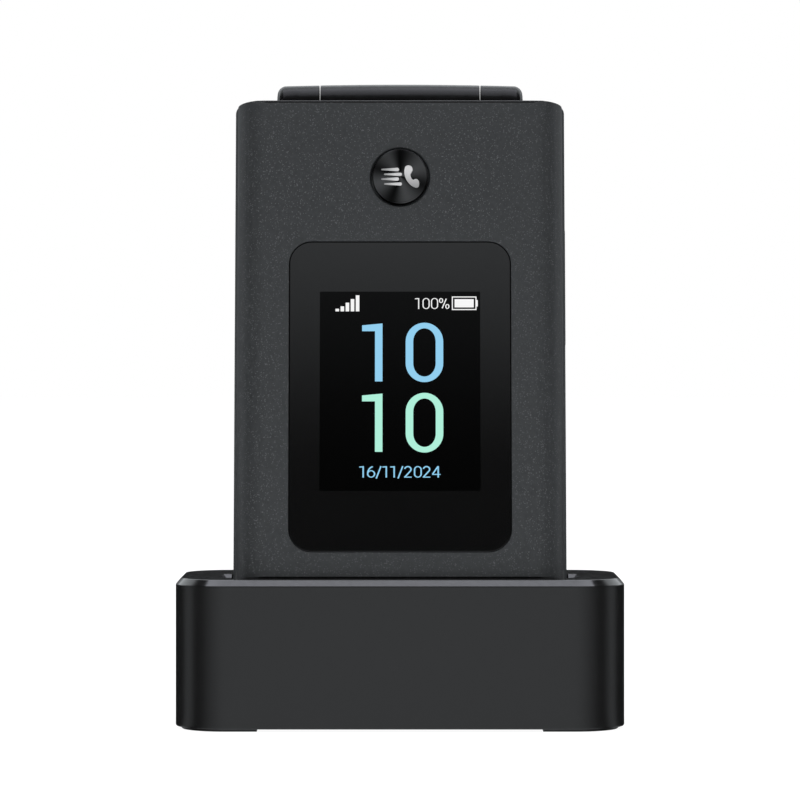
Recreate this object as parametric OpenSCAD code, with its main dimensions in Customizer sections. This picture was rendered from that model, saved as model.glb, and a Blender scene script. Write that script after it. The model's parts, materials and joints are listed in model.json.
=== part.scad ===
/* [Phone] */
// Width across the case
phone_w = 58.2; // [57.5:0.1:60]
// Thickness with the lid closed
phone_t = 18.5; // [18.3:0.1:19.5]
// Length of the chin below the lid
chin_len = 15.6; // [15.5:0.1:17]
// Length of the lid
lid_len = 84.3; // [83:0.1:86]
// Gap between the lid's lower end and the chin
lid_gap = 0.2; // [0.15:0.05:0.4]
// Width of the rounded shoulder along each side
roll_w = 5; // [4:0.1:5.5]
// Depth of the rounded shoulder along each side
roll_d = 4.2; // [3.5:0.1:4.5]
// How far the lid's frame shows outside its cover
frame_step = 0.45; // [0.3:0.05:0.6]

/* [Hinge] */
// Largest radius of the hinge barrel
barrel_r = 5.5; // [5.3:0.05:5.6]
// Width of the whole barrel
barrel_w = 43.6; // [43:0.1:45]
// Width of the knuckle that belongs to the lid
middle_w = 28.3; // [28:0.1:29]
// Radius of the hinge's shaft and pin
pin_r = 2; // [1.8:0.05:2.2]
// Running clearance round the shaft and pin
pin_gap = 0.05; // [0.03:0.01:0.08]

/* [Outer face] */
// Width of the outer window
window_w = 38.8; // [38:0.1:40]
// Height of the outer window
window_h = 54.6; // [53:0.1:56]
// Height of the window's centre above the phone's lower end
window_z = 47.5; // [46.5:0.1:48]
// Corner radius of the window
window_r = 4; // [3:0.1:5]
// Radius of the quick key
quick_r = 4.85; // [4.5:0.05:5]
// Height of the quick key's centre
quick_z = 86.3; // [86:0.1:87]

/* [Keypad] */
// Width of a number key
key_w = 14.8; // [14:0.1:15]
// Height of a number key
key_h = 7.8; // [7.4:0.1:8]
// Spacing of the columns
column_pitch = 16.4; // [16.2:0.1:16.4]
// Spacing of the rows
row_pitch = 9.4; // [9.2:0.1:9.6]
// Height of the lowest row's centre
first_row_z = 23.8; // [23.6:0.1:24]
// Travel of a key
key_travel = 0.35; // [0.25:0.05:0.4]

/* [Cradle] */
// Width of the cradle
cradle_w = 77.9; // [77:0.1:80]
// Depth of the cradle
cradle_d = 32; // [31.5:0.5:34]
// Height of the deck above the surface it stands on
cradle_h = 26.1; // [25.5:0.1:27]
// Corner radius of the cradle
cradle_r = 8.7; // [8:0.1:9]
// Chamfer round the deck
deck_chamfer = 1.1; // [0.8:0.1:1.2]
// How far the phone leans back, in degrees
lean = 8.5; // [8:0.1:9]
// Clearance round the phone in the well
well_gap = 0.4; // [0.3:0.05:0.5]
// Height of the gap under the shell that the feet leave
foot_gap = 0.45; // [0.4:0.05:0.6]

/* [Hidden] */
half_t = phone_t / 2;
front_y = -half_t;
lid_z0 = chin_len + lid_gap;
lid_z1 = lid_z0 + lid_len;
hinge_z = lid_z1 - 1;
shoulder_z = hinge_z - 1;
keypad_y = -0.3;
plate_y = 1;
board_y = 3;
split_y = 4;
lid_inner_y = -1;
lid_split_y = -3.6;
cover_wall = 1.3;
case_wall = 1.6;
knuckle_gap = 0.25;
end_gap = 0.2;
end_r = 3;
case_top = [2.2, 2.2];
lid_top = [7, 0.65];
frame_top = [1.75, 1.75];
lid_edges = [0.25, 0.5];
cover_w = phone_w - 2 * frame_step;
bay_w = 46;
bay_z = [14, 72];
cover_zone = [8, 76];
seat_z = 9.2;
seat_y = -(cradle_h - seat_z) * tan(lean);
rear_reach = seat_y + (half_t - end_r) * cos(lean) + (shoulder_z - end_r) * sin(lean) + end_r;
shift_y = -(rear_reach - cradle_d / 2) / 2;
wall = 2;
tub_wall = 1.5;
foot_t = 1.2;
base_t = 2;
cradle_screw = [33.6, 9.6];
contact_x = 10;
contact_y = -2;
pin_z = -3.48;
pad_z = 0.02;
inlet_z = foot_gap + base_t + 2.65;
port_y = -1.63;
keypad_lip = 0.4;
cartridge_r = 3.4;
key_rim = 0.5;
key_clear = 0.15;
dome_t = 0.3;
key_stem = key_travel + dome_t + 0.05 - board_y;
screw_x = 26.1;
screw_z = [16, 52];
screw_head_r = 1.2;
inner_window_w = 50;
inner_window_h = 68;
inner_window_z = 54;
inner_glass_t = 0.8;
earpiece_z = 90.7;
bumper_x = 26.6;
bumper_z = 19;
bumper_r = 1.2;

KEY_NAMES = ["1", "2", "3", "4", "5", "6", "7", "8", "9", "star", "0", "hash"];

$fn = 64;

// Points along an ellipse's arc, from angle t0 to t1
function arc(cx, cy, a, b, t0, t1, n = 10) =
    [for (i = [0:n]) let (t = t0 + (t1 - t0) * i / n) [cx + a * cos(t), cy + b * sin(t)]];

// A shell's cross-section: open at y_open, flat at y_face, with a rounded shoulder at each side
function shell_section(w, y_open, y_face, a, b) =
    let (s = sign(y_face - y_open), cx = w / 2 - a, cy = y_face - s * b)
    concat([[w / 2, y_open]], arc(cx, cy, a, s * b, 0, 90), arc(-cx, cy, a, s * b, 90, 180),
           [[-w / 2, y_open]]);

// Its profile in YZ, with one edge radius at the lower end and one at the upper
function end_section(z0, z1, y_open, y_face, e0, e1) =
    let (s = sign(y_face - y_open))
    concat([[y_open, z1]], arc(y_face - s * e1, z1 - e1, s * e1, e1, 90, 0),
           arc(y_face - s * e0, z0 + e0, s * e0, e0, 0, -90), [[y_open, z0]]);

// A closed section between two flat faces, with a rounded shoulder at all four corners
function closed_section(w, y0, y1, a, b) =
    let (cx = w / 2 - a)
    concat(arc(cx, y1 - b, a, b, 0, 90), arc(-cx, y1 - b, a, b, 90, 180),
           arc(-cx, y0 + b, a, b, 180, 270), arc(cx, y0 + b, a, b, 270, 360));

// Extrusions along X, of a YZ outline, and along Y, of an XZ outline
module along_x(x0, x1) { translate([x0, 0, 0]) rotate([90, 0, 90]) linear_extrude(x1 - x0) children(); }
module along_y(y0, y1) { translate([0, y1, 0]) rotate([90, 0, 0]) linear_extrude(y1 - y0) children(); }

module rounded(w, h, r) {
    square([w - 2 * r, h], center = true);
    square([w, h - 2 * r], center = true);
    for (sx = [-1, 1], sy = [-1, 1])
        translate([sx * (w / 2 - r), sy * (h / 2 - r)]) circle(r);
}

// A face outline in XZ, with round corners at the bottom and elliptical ones at the top
module face_outline(w, z0, z1, r0, top) {
    a = top[0];
    b = top[1];
    polygon(concat(
        arc(w / 2 - r0, z0 + r0, r0, r0, -90, 0), arc(w / 2 - a, z1 - b, a, b, 0, 90),
        arc(-w / 2 + a, z1 - b, a, b, 90, 180), arc(-w / 2 + r0, z0 + r0, r0, r0, 180, 270)));
}

// A moulded shell form: rounded shoulders along both sides, edge radii at the ends and outline corners
module shell_form(w, z0, z1, y_open, y_face, a, b, ends, r0, top) {
    low = min(y_open, y_face);
    high = max(y_open, y_face);
    intersection() {
        translate([0, 0, z0]) linear_extrude(z1 - z0) polygon(shell_section(w, y_open, y_face, a, b));
        along_x(-w / 2, w / 2)
            polygon(end_section(z0, z1, y_open, y_face, ends[0], ends[1]));
        along_y(low, high) face_outline(w, z0, z1, r0, top);
    }
}

// A block with rounded corners whose side wall follows edge, a list of [inset, height] points
module rounded_block(w, d, r, edge) {
    n = len(edge) - 1;
    module wall_profile(half) {
        polygon(concat([for (e = edge) [half - e[0], e[1]]],
                       [for (i = [n:-1:0]) [edge[i][0] - half, edge[i][1]]]));
    }
    along_x(r - w / 2, w / 2 - r) wall_profile(d / 2);
    along_y(r - d / 2, d / 2 - r) wall_profile(w / 2);
    for (sx = [-1, 1], sy = [-1, 1])
        translate([sx * (w / 2 - r), sy * (d / 2 - r), 0]) rotate_extrude()
            polygon(concat([[0, edge[0][1]]], [for (e = edge) [r - e[0], e[1]]], [[0, edge[n][1]]]));
}

// Placing: Z of a child becomes the front's outward normal, or the right side's
module face_front(x, y, z) { translate([x, y, z]) rotate([90, 0, 0]) children(); }
module face_right(x, y, z) { translate([x, y, z]) rotate([90, 0, 90]) children(); }
module on_axis(x0, x1, r) { translate([x0, 0, hinge_z]) rotate([0, 90, 0]) cylinder(x1 - x0, r, r); }

module in_cradle() { translate([0, shift_y, 0]) children(); }
module in_phone() { translate([0, seat_y + shift_y, seat_z]) rotate([-lean, 0, 0]) children(); }

// ---- Cradle -------------------------------------------------------------------------------

// The closed phone's section grown by gap, as a prism along the phone
module well_prism(gap, z0, z1) {
    translate([0, 0, z0]) linear_extrude(z1 - z0)
        polygon(closed_section(phone_w + 2 * gap, front_y - gap, half_t + gap, roll_w, roll_d));
}

// The mouth's lead-in: along the front and the front half of both sides, where it ends in a slope
module well_flare() {
    depth = 2;
    reach = 1.53;
    front_reach = 0.8;
    rear_y = 2.2;
    half_w = phone_w / 2 + well_gap;
    front = -(half_t + well_gap) / cos(lean);
    intersection() {
        along_y(-cradle_d, cradle_d)
            polygon([[-half_w, cradle_h - depth], [half_w, cradle_h - depth],
                     [half_w + reach, cradle_h + 0.01], [-half_w - reach, cradle_h + 0.01]]);
        along_x(-cradle_w, cradle_w)
            polygon([[front, cradle_h - depth], [rear_y - depth, cradle_h - depth],
                     [rear_y, cradle_h + 0.01], [front - front_reach, cradle_h + 0.01]]);
        translate([0, 0, cradle_h - 2 * depth]) linear_extrude(3 * depth)
            polygon(closed_section(2 * (half_w + reach), front - front_reach, -front, roll_w + 1.5,
                                   roll_d + 1));
    }
}

module foot_shapes() {
    inset = 1;
    inner_x = 24.4;
    inner_y = 7;
    intersection() {
        rounded_block(cradle_w - 2 * inset, cradle_d - 2 * inset, cradle_r - inset,
                      [[0.15, 0], [0, 0.15], [0, foot_t]]);
        union() for (sx = [-1, 1], sy = [-1, 1])
            translate([sx * (inner_x + cradle_w / 4), sy * (inner_y + cradle_d / 4), 0])
                rounded_block(cradle_w / 2, cradle_d / 2, 2, [[0.25, 0], [0, foot_t]]);
    }
}

module screw_posts(r, z0, z1) {
    for (sx = [-1, 1], sy = [-1, 1])
        translate([sx * cradle_screw[0], sy * cradle_screw[1], z0]) cylinder(z1 - z0, r, r);
}

module cradle_shell() {
    inside = [[wall, foot_gap], [wall, cradle_h - wall]];
    color("#242426") in_cradle() difference() {
        union() {
            difference() {
                rounded_block(cradle_w, cradle_d, cradle_r,
                              [[0.2, foot_gap], [0, foot_gap + 0.2], [0, cradle_h - deck_chamfer],
                               [deck_chamfer, cradle_h]]);
                rounded_block(cradle_w, cradle_d, cradle_r,
                              [[wall, foot_gap - 1], [wall, cradle_h - wall]]);
            }
            screw_posts(2.2, foot_gap + base_t, cradle_h - wall + 0.1);
        }
        translate([0, seat_y, seat_z]) rotate([-lean, 0, 0]) well_prism(well_gap, -4, 30);
        well_flare();
        screw_posts(0.9, 0, 12);
        foot_shapes();
        face_front(0, cradle_d / 2 + 1, inlet_z)
            linear_extrude(4) rounded(9.1, 3.4, 1.69);
    }
}

module well_tub() {
    floor_t = 2;
    floor_z = -0.15;
    color("#1c1c1e") in_cradle() intersection() {
        translate([0, seat_y, seat_z]) rotate([-lean, 0, 0]) difference() {
            well_prism(well_gap + tub_wall, floor_z - floor_t, 30);
            well_prism(well_gap, floor_z, 31);
            for (sx = [-1, 1]) translate([sx * contact_x, contact_y, -4]) cylinder(6, 0.95, 0.95);
        }
        translate([-cradle_w / 2, -cradle_d / 2, 0]) cube([cradle_w, cradle_d, cradle_h - wall]);
    }
}

module base_plate() {
    color("#202022") in_cradle() difference() {
        rounded_block(cradle_w, cradle_d, cradle_r,
                      [[wall + 0.1, foot_gap], [wall + 0.1, foot_gap + base_t]]);
        foot_shapes();
        screw_posts(0.9, 0, 12);
        screw_posts(1.8, 0, foot_gap + base_t - 0.7);
    }
}

module rubber_feet() {
    color("#161617") in_cradle() difference() {
        foot_shapes();
        screw_posts(1.8, -1, foot_t + 1);
    }
}

module cradle_screws() {
    head_z = foot_gap + base_t - 0.7;
    color("#8a8a8c") in_cradle() difference() {
        union() {
            screw_posts(0.9, head_z - 0.5, 11.5);
            screw_posts(1.75, head_z - 1, head_z);
        }
        for (angle = [0, 90], sx = [-1, 1], sy = [-1, 1])
            translate([sx * cradle_screw[0], sy * cradle_screw[1], head_z - 1]) rotate(angle)
                cube([1.8, 0.4, 1], center = true);
    }
}

module ballast_plate() {
    z0 = foot_gap + base_t;
    color("#9a9b9d") in_cradle() difference() {
        translate([0, 0, z0]) linear_extrude(2.5) rounded(60, 22, 2);
        translate([0, 2, z0 - 1]) linear_extrude(5) rounded(32, 24, 1);
    }
}

module charging_board() {
    color("#1f5a3a") in_cradle() translate([0, 1.7, foot_gap + base_t]) linear_extrude(1)
        rounded(26, 22.6, 1);
}

module socket_shell(depth, wide = 8.94, high = 3.26) {
    skin = 0.3;
    difference() {
        linear_extrude(depth) rounded(wide, high, high / 2 - 0.01);
        translate([0, 0, 1]) linear_extrude(depth)
            rounded(wide - 2 * skin, high - 2 * skin, high / 2 - skin - 0.01);
    }
    translate([-3.35, -0.35, 0.5]) cube([6.7, 0.7, depth - 1.2]);
}

module inlet_socket() {
    color("#b9bbbe") in_cradle()
        translate([0, cradle_d / 2 - 7.2, inlet_z]) rotate([-90, 0, 0]) socket_shell(7);
}

module contact_block() {
    color("#2b2b2d") in_cradle() translate([0, seat_y, seat_z]) rotate([-lean, 0, 0]) difference() {
        translate([-14, -5, -5.4]) cube([28, 6, 3.25]);
        for (sx = [-1, 1]) translate([sx * contact_x, contact_y, -4.4]) cylinder(6, 1.25, 1.25);
    }
}

module contact_pin(side) {
    color("#d9b25a") in_phone() translate([side * contact_x, contact_y, pin_z]) rotate_extrude()
        polygon(concat([[0, 0], [1.15, 0], [1.15, 0.6], [0.8, 0.6], [0.8, 2.85]],
                       arc(0, 2.85, 0.8, 0.6, 0, 90, 5)));
}

// ---- Phone's lower half ----------------------------------------------------------------------

// The barrel's outline is slightly crowned; its outer ends are rounded
function barrel_radius(x) = barrel_r - 0.3 * pow(2 * x / barrel_w, 2);

module knuckle(x0, x1, round_r = 0) {
    steps = 6;
    last = x1 - round_r;
    side = [for (i = [0:steps]) let (x = x0 + (last - x0) * i / steps) [barrel_radius(x), x]];
    corner = round_r == 0 ? [] : arc(barrel_radius(last) - round_r, last, round_r, round_r, 15, 90, 5);
    translate([0, 0, hinge_z]) rotate([0, 90, 0]) rotate_extrude()
        polygon(concat([[0, x0]], side, corner, [[0, x1]]));
}

module both_sides() {
    children();
    mirror([1, 0, 0]) children();
}

module number_spot(i) {
    column = i % 3 - 1;
    row = 3 - floor(i / 3);
    face_front(column * column_pitch, 0, first_row_z + row * row_pitch) children();
}

call_z = first_row_z + 4 * row_pitch;
nav_z = call_z + 14.6;
nav_r = 11;
ok_r = 5.5;
side_key_x = column_pitch + 1.6;
side_key_w = 11.6;
clear_w = 15;
soft_z = nav_z + 7.4;
soft_h = 8.2;
call_h = 8.6;

key_edge = [[-key_rim, -1.7], [-key_rim, -1.1], [0, -1.1], [0, 0.55], [0.25, 0.8]];

module key_body(w, h, r) {
    rounded_block(w, h, r, key_edge);
    translate([0, 0, key_stem]) cylinder(-key_stem - 1.3, 1.5, 1.5);
}

module key_hole(w, h, r) {
    translate([0, 0, -2]) linear_extrude(4) rounded(w + 2 * key_clear, h + 2 * key_clear, r + key_clear);
}

module number_key(i) {
    color("#2c2d2f") in_phone() number_spot(i) key_body(key_w, key_h, 2);
}

// The keys beside the nav ring are cut back round it
module ring_room(extra) {
    face_front(0, 0, nav_z) translate([0, 0, -3]) cylinder(6, nav_r + extra, nav_r + extra);
}

module soft_key_shape(side) {
    difference() {
        face_front(side * side_key_x, 0, soft_z) key_body(side_key_w, soft_h, 2);
        ring_room(1.2);
    }
}

module call_key_shape(side) {
    difference() {
        face_front(side * side_key_x, 0, call_z + 2) key_body(side_key_w, call_h, 2);
        ring_room(1.2);
    }
}

module soft_key_left() { color("#2c2d2f") in_phone() soft_key_shape(-1); }
module soft_key_right() { color("#2c2d2f") in_phone() soft_key_shape(1); }
module call_key() { color("#2c2d2f") in_phone() call_key_shape(-1); }
module end_key() { color("#2c2d2f") in_phone() call_key_shape(1); }
module clear_key() { color("#2c2d2f") in_phone() face_front(0, 0, call_z - 0.6) key_body(clear_w, 5.6, 1.8); }

module nav_ring() {
    color("#8b8d90") in_phone() face_front(0, 0, nav_z) rotate_extrude()
        polygon([[ok_r + 0.2, -1], [nav_r, -1], [nav_r, 0.5], [nav_r - 0.4, 0.85],
                 [ok_r + 0.7, 0.6], [ok_r + 0.2, 0.4]]);
}

module ok_key() {
    color("#2c2d2f") in_phone() face_front(0, 0, nav_z) rotate_extrude()
        polygon([[0, key_stem], [1.5, key_stem], [1.5, -1.3], [ok_r, -1.3], [ok_r, 0.3],
                 [ok_r - 0.3, 0.6], [0, 0.75]]);
}

volume_z = 68.35;
volume_len = 21.1;
volume_y = 2.45;
volume_h = 2;
volume_rim = 0.3;

module volume_key() {
    inner = phone_w / 2 - case_wall;
    color("#1d1e20") in_phone() face_right(0, volume_y, volume_z)
        rounded_block(volume_h, volume_len, 0.9,
                      [[-volume_rim, inner - 0.7], [-volume_rim, inner - 0.1], [0, inner - 0.1],
                       [0, phone_w / 2], [0.2, phone_w / 2 + 0.25]]);
}

module case_outline(y0, y1, inset = 0) {
    along_y(y0, y1) face_outline(phone_w - 2 * inset, inset, shoulder_z - inset, 6 - inset,
                                case_top);
}

// A low lip round the keypad, which the closed lid meets
module keypad_rim() {
    difference() {
        case_outline(keypad_y - keypad_lip, keypad_y);
        case_outline(keypad_y - 2 * keypad_lip, keypad_y, 1.2);
    }
}

module relief(gap) {
    on_axis(-middle_w / 2 - end_gap, middle_w / 2 + end_gap, barrel_r + gap);
}

module keypad_housing() {
    color("#2a2b2d") in_phone() difference() {
        union() {
            difference() {
                union() {
                    case_outline(keypad_y, split_y);
                    keypad_rim();
                    shell_form(phone_w, 0, chin_len, split_y, front_y, roll_w, roll_d, [1.2, 0.25], 6,
                               [0.3, 0.3]);
                }
                case_room();
            }
            for (x = [-screw_x, screw_x], z = screw_z) face_front(x, split_y, z) cylinder(3.2, 1.7, 1.7);
            both_sides() knuckle(middle_w / 2 + end_gap, barrel_w / 2, 1.6);
        }
        relief(knuckle_gap);
        both_sides() on_axis(middle_w / 2 - 1, barrel_w / 2 - 1.4, pin_r);
        for (x = [-screw_x, screw_x], z = screw_z) face_front(x, split_y + 1, z) cylinder(3.4, 0.7, 0.7);
        for (i = [0:11]) number_spot(i) key_hole(key_w, key_h, 2);
        for (side = [-1, 1], at = [[soft_z, soft_h], [call_z + 2, call_h]])
            face_front(side * side_key_x, 0, at[0]) key_hole(side_key_w, at[1], 2);
        face_front(0, 0, call_z - 0.6) key_hole(clear_w, 5.6, 1.8);
        face_front(0, plate_y + 1, nav_z) cylinder(3, nav_r + 0.2, nav_r + 0.2);
        face_right(phone_w / 2 - 2.5, volume_y, volume_z) linear_extrude(4)
            rounded(volume_h + 2 * key_clear, volume_len + 2 * key_clear, 0.9 + key_clear);
        translate([0, port_y, -1]) linear_extrude(4) rounded(9.2, 3.5, 1.7);
        for (sx = [-1, 1]) translate([sx * contact_x, contact_y, -1]) linear_extrude(4)
            square([4.2, 2.7], center = true);
        face_front(12, front_y + 3, 7) cylinder(4, 0.5, 0.5);
    }
}

// The hollow behind the keypad plate and inside the chin
module case_room() {
    along_y(plate_y, split_y + 1)
        face_outline(phone_w - 2 * case_wall, case_wall, hinge_z - barrel_r - 2, 4.5, [2, 2]);
    shell_form(phone_w - 2 * case_wall, case_wall, chin_len - case_wall, split_y + 1, front_y + case_wall,
               roll_w - case_wall, roll_d - case_wall, [0.6, 0.6], 4.5, [0.5, 0.5]);
}

module rear_form(inset) {
    shell_form(phone_w - 2 * inset, inset, shoulder_z - inset, split_y, half_t - inset,
               roll_w - inset, roll_d - inset, [end_r - inset, end_r - inset], 6 - inset,
               [case_top[0] - inset, case_top[1] - inset]);
}

module rear_zone(gap) {
    translate([-phone_w, split_y + 1.2 - gap, cover_zone[0] - gap])
        cube([2 * phone_w, half_t, cover_zone[1] - cover_zone[0] + 2 * gap]);
}

camera_x = -12;
camera_z = 84;
flash_x = -2;
speaker_x = 11.6;
speaker_slot = [11, 0.8];
speaker_pitch = 1.8;

module rear_housing() {
    color("#2a2b2d") in_phone() difference() {
        rear_form(0);
        difference() {
            rear_zone(0.1);
            rear_form(cover_wall);
        }
        translate([-bay_w / 2, split_y + 0.5, bay_z[0]]) cube([bay_w, half_t, bay_z[1] - bay_z[0]]);
        translate([-20, split_y - 1, 2]) cube([40, 3, 10]);
        relief(knuckle_gap);
        both_sides() on_axis(middle_w / 2 - 1, barrel_w / 2 + 0.1, barrel_r + 0.1);
        face_front(camera_x, half_t + 1, camera_z) cylinder(phone_t, 4.1, 4.1);
        face_front(flash_x, half_t + 1, camera_z) cylinder(phone_t, 1.6, 1.6);
        translate([4, split_y - 1, camera_z - 5.1]) cube([15.2, 5, 10.2]);
        for (i = [-2:2]) face_front(speaker_x, half_t + 1, camera_z + i * speaker_pitch)
            linear_extrude(3) rounded(speaker_slot[0], speaker_slot[1], speaker_slot[1] / 2 - 0.01);
        for (x = [-screw_x, screw_x], z = screw_z) face_front(x, half_t, z) {
            cylinder(half_t - 5.6, screw_head_r + 0.05, screw_head_r + 0.05);
            cylinder(half_t, 0.7, 0.7);
        }
    }
}

module battery_cover() {
    color("#2a2b2d") in_phone() difference() {
        intersection() {
            rear_form(0);
            rear_zone(0);
        }
        rear_form(cover_wall - 0.1);
        face_front(0, half_t + 1.6, cover_zone[0] + 5) scale([2.2, 1, 1]) cylinder(2, 2, 2);
    }
}

module battery() {
    color("#3b3f45") in_phone() face_front(0, 8, (bay_z[0] + bay_z[1]) / 2)
        rounded_block(bay_w - 1, bay_z[1] - bay_z[0] - 1, 2, [[0.3, 0], [0, 0.3], [0, 3.2], [0.3, 3.5]]);
}

module main_board() {
    color("#1f5a3a") in_phone() face_front(0, split_y, 53.5) linear_extrude(split_y - board_y)
        rounded(46, 72, 2);
}

module dome_sheet() {
    color("#b8b8ae") in_phone() face_front(0, board_y, 51) linear_extrude(dome_t) rounded(45, 66, 3);
}

module camera_module() {
    color("#101113") in_phone() face_front(camera_x, half_t - 0.15, camera_z) rotate_extrude()
        polygon([[0, 0.3], [2.6, 0.3], [2.9, 0], [3.6, 0], [4, 0.4], [4, 5.1], [0, 5.1]]);
}

module flash_lens() {
    color("#f1efe6") in_phone() face_front(flash_x, half_t - 0.1, camera_z) cylinder(1.5, 1.5, 1.5);
}

module loudspeaker() {
    color("#55575a") in_phone() face_front(speaker_x, split_y + 3.9, camera_z)
        rounded_block(15, 10, 2, [[0.4, 0], [0.4, 0.4], [0, 0.4], [0, 3.4]]);
}

module chin_board() {
    color("#1f5a3a") in_phone() face_front(0, 0.8, 8.2) linear_extrude(0.8) rounded(44, 11.6, 1);
}

module phone_socket() {
    color("#b9bbbe") in_phone() translate([0, port_y, 7.6]) rotate([180, 0, 0]) socket_shell(7);
}

module charging_pads() {
    color("#d9b25a") in_phone() for (sx = [-1, 1]) translate([sx * contact_x, contact_y, pad_z]) {
        translate([-2.05, -1.3, 0]) cube([4.1, 2.6, case_wall - pad_z]);
        translate([-2.5, -1.7, case_wall - pad_z]) cube([5, 3.4, 0.5]);
        translate([-1, 1, 2.05]) cube([2, 1, 3]);
    }
}

module vibration_motor() {
    color("#a9abad") in_phone() translate([-18, -2, 5]) cylinder(7.5, 2, 2);
}

module microphone() {
    color("#c9b15e") in_phone() face_front(12, front_y + case_wall + 1.5, 7) cylinder(1.4, 2, 2);
}

module case_screws() {
    color("#8a8a8c") in_phone()
        for (x = [-screw_x, screw_x], z = screw_z) face_front(x, 6.5, z) difference() {
            union() {
                cylinder(0.9, screw_head_r, screw_head_r);
                cylinder(4.8, 0.7, 0.7);
            }
            for (angle = [0, 90]) rotate(angle) cube([1.5, 0.35, 0.9], center = true);
        }
}

module cam_shaft() {
    color("#b4b6b8") in_phone() on_axis(1.4 - barrel_w / 2, -2, pin_r);
}

module pivot_pin() {
    color("#b4b6b8") in_phone() on_axis(6, barrel_w / 2 - 1.4, pin_r);
}

// ---- Lid -----------------------------------------------------------------------------------

module lid_form(inset) {
    shell_form(cover_w - 2 * inset, lid_z0 + inset, lid_z1 - inset, lid_split_y + (inset > 0 ? 1 : 0),
               front_y + inset, roll_w - inset, roll_d - inset, lid_edges, 0.3,
               [lid_top[0] - inset, lid_top[1]]);
}

module lid_cover() {
    color("#3d3f41") in_phone() difference() {
        lid_form(0);
        lid_form(cover_wall);
        on_axis(-barrel_w / 2 - 0.2, barrel_w / 2 + 0.2, barrel_r + knuckle_gap);
        face_front(0, front_y + 0.8, window_z) linear_extrude(2)
            rounded(window_w + 0.1, window_h + 0.1, window_r + 0.05);
        face_front(0, front_y + 2, window_z + 1) linear_extrude(4) rounded(30, 38, 1);
        face_front(0, front_y + 2, quick_z) cylinder(4, quick_r + 0.2, quick_r + 0.2);
        face_front(0, front_y + 0.3, quick_z) cylinder(0.31, quick_r + 0.2, quick_r + 0.5);
    }
}

module lid_frame() {
    color("#4a4c4f") in_phone() difference() {
        union() {
            difference() {
                along_y(lid_split_y, lid_inner_y)
                    face_outline(phone_w, lid_z0 - 0.05, lid_z1 + 0.25, 0.3, frame_top);
                both_sides() on_axis(middle_w / 2 - 0.01, barrel_w / 2 + 0.2, barrel_r + knuckle_gap);
            }
            both_sides() knuckle(0, middle_w / 2);
        }
        face_front(0, lid_inner_y + 1, inner_window_z) linear_extrude(1.9)
            rounded(inner_window_w + 0.1, inner_window_h + 0.1, 2);
        face_front(0, lid_inner_y + 1, inner_window_z + 1) linear_extrude(6) rounded(44.5, 59, 1);
        face_front(0, -2.15, inner_window_z) linear_extrude(3) rounded(48.8, 67.2, 1);
        on_axis(-middle_w, 2, cartridge_r);
        on_axis(0, middle_w, pin_r + pin_gap);
        face_front(0, 0, earpiece_z) linear_extrude(6) rounded(10, 1.2, 0.59);
        for (sx = [-1, 1]) face_front(sx * bumper_x, 0, bumper_z) cylinder(1.5, bumper_r, bumper_r);
    }
}

module outer_window() {
    color("#0c0d0f") in_phone() face_front(0, front_y + 0.8, window_z)
        rounded_block(window_w, window_h, window_r, [[0, 0], [0, 0.7], [0.12, 0.82]]);
}

module outer_display() {
    color("#050507") in_phone() face_front(0, front_y + cover_wall + 1.6, window_z + 1)
        rounded_block(33, 42, 1, [[0, 0], [0, 1.55]]);
}

module inner_window() {
    color("#0c0d0f") in_phone() face_front(0, lid_inner_y - 0.1, inner_window_z)
        linear_extrude(inner_glass_t) rounded(inner_window_w, inner_window_h, 2);
}

module inner_display() {
    color("#050507") in_phone() face_front(0, -2.2, inner_window_z) linear_extrude(2)
        rounded(48.6, 67, 1);
}

module lid_board() {
    color("#1f5a3a") in_phone() difference() {
        face_front(0, -5.4, 83) linear_extrude(0.8) rounded(46, 20, 1);
        on_axis(-barrel_w / 2 - 0.5, barrel_w / 2 + 0.5, barrel_r + 0.6);
    }
}

module earpiece() {
    color("#c4c5c6") in_phone() face_front(0, lid_split_y - 0.05, earpiece_z - 0.1)
        linear_extrude(1.6) rounded(12, 5, 1.5);
}

module quick_key() {
    color("#131315") in_phone() face_front(0, 0, quick_z) rotate_extrude()
        polygon([[0, 6.7], [1.2, 6.7], [1.2, 7.25], [quick_r + 0.7, 7.25], [quick_r + 0.7, 7.85],
                 [quick_r, 7.85], [quick_r, half_t + 0.5], [quick_r - 0.2, half_t + 0.7],
                 [0, half_t + 0.6]]);
}

module lid_magnet() {
    color("#a0a2a5") in_phone() translate([24.7, lid_split_y - 1.6, 26]) cube([2.2, 1.6, 8]);
}

module lid_bumpers() {
    color("#161617") in_phone() for (sx = [-1, 1]) face_front(sx * bumper_x, keypad_y - 0.1, bumper_z)
        cylinder(-keypad_y + 0.8, bumper_r, bumper_r);
}

module hinge_cartridge() {
    color("#8f9194") in_phone() difference() {
        on_axis(-middle_w / 2, 2, cartridge_r);
        on_axis(-middle_w, 1, pin_r + pin_gap);
    }
}

// ---- Nodes ----------------------------------------------------------------------------------

cradle_shell();
well_tub();
base_plate();
ballast_plate();
charging_board();
inlet_socket();
contact_block();
contact_pin(-1);  // contact_pin_left
contact_pin(1);  // contact_pin_right
rubber_feet();
cradle_screws();
keypad_housing();
rear_housing();
battery_cover();
battery();
main_board();
dome_sheet();
soft_key_left();
soft_key_right();
nav_ring();
ok_key();
call_key();
clear_key();
end_key();
volume_key();
camera_module();
flash_lens();
loudspeaker();
chin_board();
phone_socket();
charging_pads();
vibration_motor();
microphone();
case_screws();
cam_shaft();
pivot_pin();
lid_cover();
lid_frame();
outer_window();
outer_display();
inner_window();
inner_display();
lid_board();
earpiece();
quick_key();
lid_magnet();
lid_bumpers();
hinge_cartridge();
for (i = [0:11]) number_key(i);
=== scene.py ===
"""Looks of a flip phone that leans back in its charging cradle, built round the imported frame."""
import json
import math

import bmesh
import bpy
from mathutils import Matrix, Vector

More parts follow.
